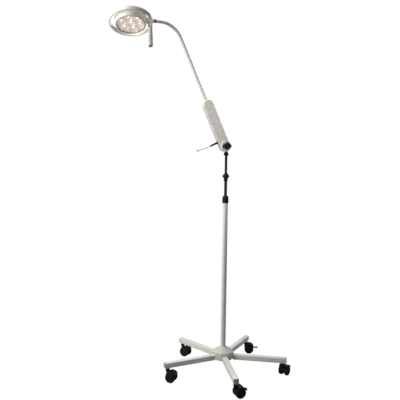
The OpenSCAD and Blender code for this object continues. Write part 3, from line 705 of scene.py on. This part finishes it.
# ---------------------------------------------------------------- head
def rounded_section(x, half_y, low, high, power=3.2, n=40):
    """A soft-cornered loop across the neck."""
    loop = []
    for k in range(n):
        t = 2 * math.pi * k / n
        c, s = math.cos(t), math.sin(t)
        y = half_y * math.copysign(abs(c) ** (2 / power), c)
        z = (low + high) / 2 + (high - low) / 2 * math.copysign(abs(s) ** (2 / power), s)
        loop.append((x, y, z))
    return loop


def yoke_shape():
    sections = [(9.2, 12.4, -12, 3), (12, 14.5, -15.5, 4.6), (18, 19.5, -18.5, 5.4), (26, 28, -20, 5.8),
                (36, 40, -20, 5.8),
                (46, 50, -20, 5.4), (56, 55.5, -20, 4.5), (68, 56, -19, 3)]
    neck = stack_data([rounded_section(*s) for s in sections])
    parts = [neck]
    for side in (-1, 1):
        cheek = soft([(0, 7.3), (12.2, 7.3), (13, 8.2), (13, 12.0), (12, 13), (0, 13)], 0.8, 4, False)
        parts.append(moved(lathe_data(cheek, False, 56), turn(-90 * side, "X")))
        link = rounded_box_data((2, 14), (min(side * 7.3, side * 13), max(side * 7.3, side * 13)),
                                (-12.6, 9.5), 1.6, 4)
        parts.append(link)
    post = soft([(0, -50), (10.2, -50), (11, -49.2), (11, -16), (9.5, -11.5), (0, -10.5)], 1.4, 5, False)
    parts.append(lathe_data(post, False, 64))
    spindle = soft([(0, -118), (7, -118), (7, -49), (0, -49)], 0.4, 2, False)
    parts.append(lathe_data(spindle, False, 40))
    return emit("head_yoke_shape", *together(*parts), HEAD, 40)


def make_head():
    place_piece(eased("head_knuckle", 0.7), "knuckle", SHELL, "head_knuckle")
    pin = soft([(0, -14.5), (4.4, -14.5), (5, -13.9), (5, -13), (3, -13), (3, 13), (5, 13), (5, 13.9),
                (4.4, 14.5), (0, 14.5)],
               0.3, 3, False)
    place_piece(emit("joint_pin_shape", *lathe_data(pin, False, 40), HEAD @ FACING), "head", STEEL,
                "joint_pin")
    place_piece(yoke_shape(), "head", SHELL, "head_yoke")
    shell = soft([(0, 8.5), (46, 7.5), (64, 4), (72, -1), (76, -8), (76, -14), (71.1, -44.5), (69.5, -44.5),
                  (69.5, -38.5),
                  (73.6, -14), (73.6, -8), (62, 1.5), (0, 5)], 4, 7, False)
    place_piece(emit("head_housing_shape", *lathe_data(shell, False, 128), ABOUT), "head", SHELL,
                "head_housing")
    bezel = soft([(66, -46.0), (68.5, -46.0), (69.5, -45.0), (69.5, -40.5), (63, -40.5), (63, -42.5),
                  (66, -42.5)], 0.7, 4)
    place_piece(emit("lens_bezel_shape", *lathe_data(bezel, True, 128), ABOUT), "head", BEZEL, "lens_bezel")
    lens = soft([(0, -45.5), (60, -45.4), (66, -44.9), (66, -42.5), (0, -42.5)], 0.8, 4, False)
    place_piece(emit("lens_cover_shape", *lathe_data(lens, False, 96), ABOUT), "head", LENS, "lens_cover")
    make_optics()
    ring = soft([(96, -35.5), (98, -37.5), (101, -37.5), (103, -35.5), (103, -16.5), (101, -14.5),
                 (98, -14.5), (96, -16.5)],
                2.8, 6)
    place_piece(emit("ring_handle_shape", *lathe_data(ring, True, 160), ABOUT), "head", SHELL,
                "ring_handle")
    grip = soft([(0, -51), (10.2, -51), (11, -51.8), (11, -140.6), (10.4, -142), (9.4, -142), (9, -141.4),
                 (9, -129),
                 (0, -129)], 0.8, 4, False)
    place_piece(emit("grip_sleeve_shape", *lathe_data(grip, False, 64), HEAD), "grip", SHELL, "grip_sleeve")
    plug = soft([(0, -135), (8.2, -135), (9, -134.2), (9, -131), (0, -131)], 0.4, 3, False)
    place_piece(emit("grip_plug_shape", *lathe_data(plug, False, 48), HEAD), "grip", BLACK, "grip_plug")
    button = soft([(0, 68.5), (2.6, 68.5), (2.6, 72.2), (2.2, 72.6), (1.4, 72.4), (0, 72.3)], 0.25, 3,
                  False)
    place_piece(emit("power_button_shape", *lathe_data(button, False, 40),
                     ABOUT @ turn(116, "Z") @ shift(0, 0, -36.5) @ turn(90, "Y")), "button", BUTTON,
                "power_button")


def cup_places():
    return [shift()] + [turn(60 * k, "Z") @ shift(44) for k in range(6)]


def make_optics():
    """Seven facetted reflector cups, each with a lit chip under a small dome; the deeper cup walls are
    coloured darker than the lips as painted shade.
    """
    face, deep = -40.5, 17
    lips, walls, chips = [], [], []
    for place in cup_places():
        profile = []
        for k in range(11):
            t = k / 10
            profile.append((6.2 + (20.6 - 6.2) * (1 - t) ** 0.62, face + 0.25 + (deep - 0.6) * t))

        def facets(t, r, z):
            return r * (1 - 0.018 * (0.5 + 0.5 * math.cos(12 * t + 0.35 * (z - face))))

        lips.append(moved(lathe_data(profile[:5], False, 24, facets), place))
        walls.append(moved(lathe_data(profile[4:], False, 24, facets), place))
        dome = [(0, face + 10.4), (1.6, face + 10.7), (2.8, face + 11.8), (3.3, face + 13.2),
                (3.3, face + 15.6)]
        chips.append(moved(lathe_data(dome, False, 24), place))
    place_piece(emit("reflector_lips", *together(*lips), ABOUT, 4), "head", SILVER_PAINTED_GLOW)
    # The deeper walls get the darker cup colour, a painted shade inside each cup.
    place_piece(emit("reflector_walls_painted_shade", *together(*walls), ABOUT, 4), "head", CUP_PAINTED_SHADE)
    place_piece(emit("led_domes", *together(*chips), ABOUT), "head", EMITTER)
    for node, finish in (("reflector_array", SILVER_PAINTED_GLOW), ("led_board", BOARD), ("led_emitters", EMITTER)):
        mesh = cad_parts[node].data
        mesh.materials.clear()
        mesh.materials.append(finish[1])


# ---------------------------------------------------------------- studio
def area_light(name, place, target, size, power, colour, spread=180):
    data = bpy.data.lights.new(name, "AREA")
    data.spread = math.radians(spread)
    data.shape = "SQUARE"
    data.size = size
    data.energy = power
    data.color = colour
    light = bpy.data.objects.new(name, data)
    light.location = place
    light.rotation_euler = (Vector(target) - Vector(place)).to_track_quat("-Z", "Y").to_euler()
    light.visible_camera = False
    bpy.context.scene.collection.objects.link(light)


def camera_white(tree, dim, output):
    """White where the camera looks straight at it, and the dim shader for all other light."""
    kind = "ShaderNodeEmission" if output.name == "Material Output" else "ShaderNodeBackground"
    white = tree.nodes.new(kind)
    white.inputs["Strength"].default_value = 1.0
    white.inputs["Color"].default_value = (1, 1, 1, 1)
    path = tree.nodes.new("ShaderNodeLightPath")
    mix = tree.nodes.new("ShaderNodeMixShader")
    tree.links.new(path.outputs["Is Camera Ray"], mix.inputs["Fac"])
    tree.links.new(dim, mix.inputs[1])
    tree.links.new(white.outputs[0], mix.inputs[2])
    tree.links.new(mix.outputs["Shader"], output.inputs["Surface"])


def make_studio():
    scene = bpy.context.scene
    scene.view_settings.view_transform = "Standard"
    world = bpy.data.worlds.new("studio")
    scene.world = world
    world.use_nodes = True
    ambient = world.node_tree.nodes["Background"]
    ambient.inputs["Color"].default_value = (0.85, 0.92, 1.0, 1)
    ambient.inputs["Strength"].default_value = 0.06
    camera_white(world.node_tree, ambient.outputs["Background"], world.node_tree.nodes["World Output"])

    n = Nodes("floor_pale")
    tone = n.ramp(n.noise(3, 3), [(0.3, (0.28, 0.30, 0.33)), (0.7, (0.30, 0.32, 0.35))])
    finish = n.wire(Base_Color=tone, Roughness=n.spread(n.noise(20, 2), 0.7, 0.8))
    camera_white(n.tree, n.shader.outputs["BSDF"], n.tree.nodes["Material Output"])
    floor = emit("floor", *lathe_data([(0, 0), (2500, 0), (9000, -0.01)], False, 64), shift(0, 0, -1.2))
    floor.data.materials.append(finish)

    area_light("key_low", (-2.84, -0.92, 1.26), (0, 0, 1), 0.9, 35, (1.0, 0.98, 0.95))
    area_light("key_high", (-1.36, -0.36, 3.65), (0, 0, 1), 0.9, 76, (1.0, 0.955, 0.89))
    area_light("key_head", (-1.7, -0.9, 1.5), (-0.45, -0.2, 1.7), 0.5, 11.5, (1.0, 0.94, 0.86))
    area_light("front", (0.35, -1.0, 1.5), (-0.02, 0, 1.3), 0.5, 0.66, (1.0, 0.95, 0.90), 60)
    area_light("fill_head", (0.2, -1.3, 1.3), (-0.45, -0.15, 1.78), 0.8, 0.16, (1.0, 0.88, 0.74), 50)
    area_light("right", (2.9, 0.1, 1.6), (0, 0, 0.4), 1.2, 4.2, (0.88, 0.96, 1.0), 80)
    area_light("back", (0, 2.46, 2.72), (0, 0, 1), 1.2, 28, (1.0, 0.95, 0.89))


set_camera()
make_lead()
make_base()
make_castors()
make_pole()
make_arm()
make_head()
make_studio()
